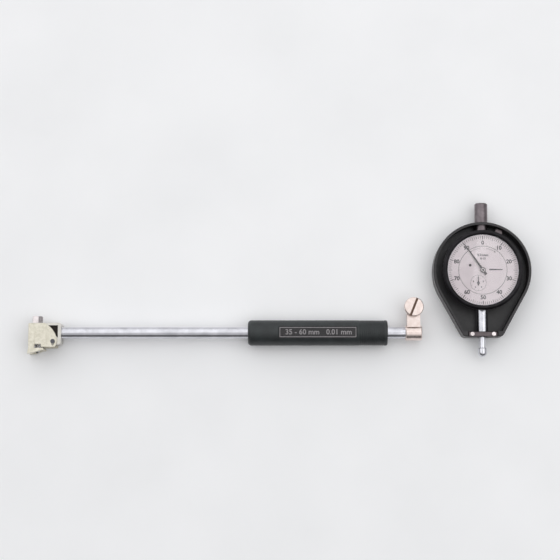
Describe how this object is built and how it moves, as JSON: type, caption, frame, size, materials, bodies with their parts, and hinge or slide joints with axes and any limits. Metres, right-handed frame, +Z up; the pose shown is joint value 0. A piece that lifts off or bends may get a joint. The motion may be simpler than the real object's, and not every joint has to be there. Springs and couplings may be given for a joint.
{
  "type": "dial bore gauge",
  "caption": "Bore gauge holder with a measuring head, tube, grip and clamp, and its dial indicator in a round guard, laid side by side.",
  "frame": {"origin": "on the bench surface, on the axis of the indicator's dial", "axes": "+X along the holder's tube from the measuring head to the clamp, +Y from the indicator's stem to its top cap, +Z up from the bench, out of the dial"},
  "size_m": [0.3576, 0.1102, 0.0215],
  "materials": {
    "satin_chrome": "satin",
    "ground_steel": "satin",
    "pearl_chrome": "satin",
    "spring_steel": "bright",
    "dark_steel": "satin",
    "brass": "satin",
    "grip_plastic": "matte",
    "guard_plastic": "matte",
    "black_anodised": "satin",
    "grey_aluminium": "satin",
    "bright_aluminium": "satin",
    "white_enamel": "matte",
    "clear_acrylic": "polished",
    "blued_steel": "matte",
    "label_metal": "satin"
  },
  "bodies": {
    "frame": {"head_body": "ground_steel", "anvil_nut": "satin_chrome", "bridge_screws": "dark_steel", "bridge_springs": "spring_steel", "lever_pin": "dark_steel", "probe_tube": "satin_chrome", "push_rod_spring": "spring_steel", "front_rod_bushing": "brass", "rear_rod_bushing": "brass", "grip": "grip_plastic", "label_plate": "label_metal", "clamp_collar": "pearl_chrome", "guard": "guard_plastic", "stem_saddle": "grey_aluminium", "saddle_screws": "satin_chrome", "indicator_case": "black_anodised", "back_cover": "grey_aluminium", "back_screws": "dark_steel", "bezel_claw": "grey_aluminium", "stem": "satin_chrome", "upper_bushing": "satin_chrome", "top_cap": "grey_aluminium", "rear_plate": "brass", "front_plate": "brass", "pillars": "brass", "spring_post": "brass", "return_spring": "spring_steel", "centre_bushing": "brass", "hairspring": "spring_steel", "centre_dial": "white_enamel", "bezel_wire": "spring_steel"},
    "plunger": {"contact_plunger": "ground_steel", "carbide_tip": "dark_steel"},
    "guide_bridge": {"bridge": "ground_steel"},
    "lever": {"transfer_lever": "dark_steel"},
    "rod": {"push_rod": "spring_steel"},
    "clamp_knob": {"clamp_screw": "pearl_chrome"},
    "thumb_screw": {"bezel_thumb_screw": "satin_chrome"},
    "bezel_group": {"bezel": "black_anodised", "crystal": "clear_acrylic", "spacer_ring": "bright_aluminium", "scale_ring": "white_enamel"},
    "spindle_group": {"spindle": "satin_chrome", "crosshead": "dark_steel", "contact_point": "satin_chrome"},
    "counter_group": {"counter_arbor": "dark_steel", "counter_gear": "brass", "counter_hand": "blued_steel"},
    "hand_group": {"centre_arbor": "dark_steel", "main_hand": "blued_steel"},
    "takeup_group": {"takeup_gear": "brass"}
  },
  "joints": [
    {"name": "contact_slide", "type": "slide", "parent": "frame", "child": "plunger", "axis": [0, 1, 0], "range_m": [0, 0.0016], "stiffness_N_per_m": 400, "springref_m": -0.006},
    {"name": "lever_turn", "type": "hinge", "parent": "frame", "child": "lever", "pos_m": [-0.3127, -0.048, 0.009], "axis": [0, 0, 1], "range_deg": [-23, 0]},
    {"name": "push_rod_slide", "type": "slide", "parent": "frame", "child": "rod", "axis": [1, 0, 0], "range_m": [0, 0.0016], "deforming": ["push_rod_spring"]},
    {"name": "bridge_slide", "type": "slide", "parent": "frame", "child": "guide_bridge", "axis": [0, 1, 0], "range_m": [0, 0.0022], "stiffness_N_per_m": 400, "springref_m": -0.005, "deforming": ["bridge_springs"]},
    {"name": "clamp_knob_turn", "type": "hinge", "parent": "frame", "child": "clamp_knob", "pos_m": [-0.04895, -0.0259, 0.015], "axis": [0, 0, 1], "range_deg": [0, 360]},
    {"name": "bezel_turn", "type": "hinge", "parent": "frame", "child": "bezel_group", "pos_m": [0, 0, 0.018], "axis": [0, 0, 1], "continuous": true},
    {"name": "thumb_screw_turn", "type": "hinge", "parent": "frame", "child": "thumb_screw", "pos_m": [0.01172, 0.02762, 0.0115], "axis": [0.3907, 0.9205, 0], "range_deg": [0, 360]},
    {"name": "spindle_slide", "type": "slide", "parent": "frame", "child": "spindle_group", "axis": [0, 1, 0], "range_m": [0, 0.01], "stiffness_N_per_m": 60, "springref_m": -0.015, "deforming": ["return_spring"]},
    {"name": "counter_turn", "type": "hinge", "parent": "frame", "child": "counter_group", "pos_m": [-0.0033, -0.0092, 0.012], "axis": [0, 0, 1], "range_deg": [0, 361]},
    {"name": "hand_turn", "type": "hinge", "parent": "frame", "child": "hand_group", "pos_m": [0, 0, 0.012], "axis": [0, 0, 1], "range_deg": [-3605, 0]},
    {"name": "takeup_turn", "type": "hinge", "parent": "frame", "child": "takeup_group", "pos_m": [0.00514, 0.0035, 0.012], "axis": [0, 0, 1], "range_deg": [0, 602], "deforming": ["hairspring"]}
  ],
  "couplings": [
    {"joint": "lever_turn", "follows": "contact_slide", "rad_per_m": -250},
    {"joint": "push_rod_slide", "follows": "contact_slide", "ratio": 1},
    {"joint": "counter_turn", "follows": "spindle_slide", "rad_per_m": 628.32},
    {"joint": "hand_turn", "follows": "spindle_slide", "rad_per_m": -6283.2},
    {"joint": "takeup_turn", "follows": "spindle_slide", "rad_per_m": 1047.2}
  ]
}
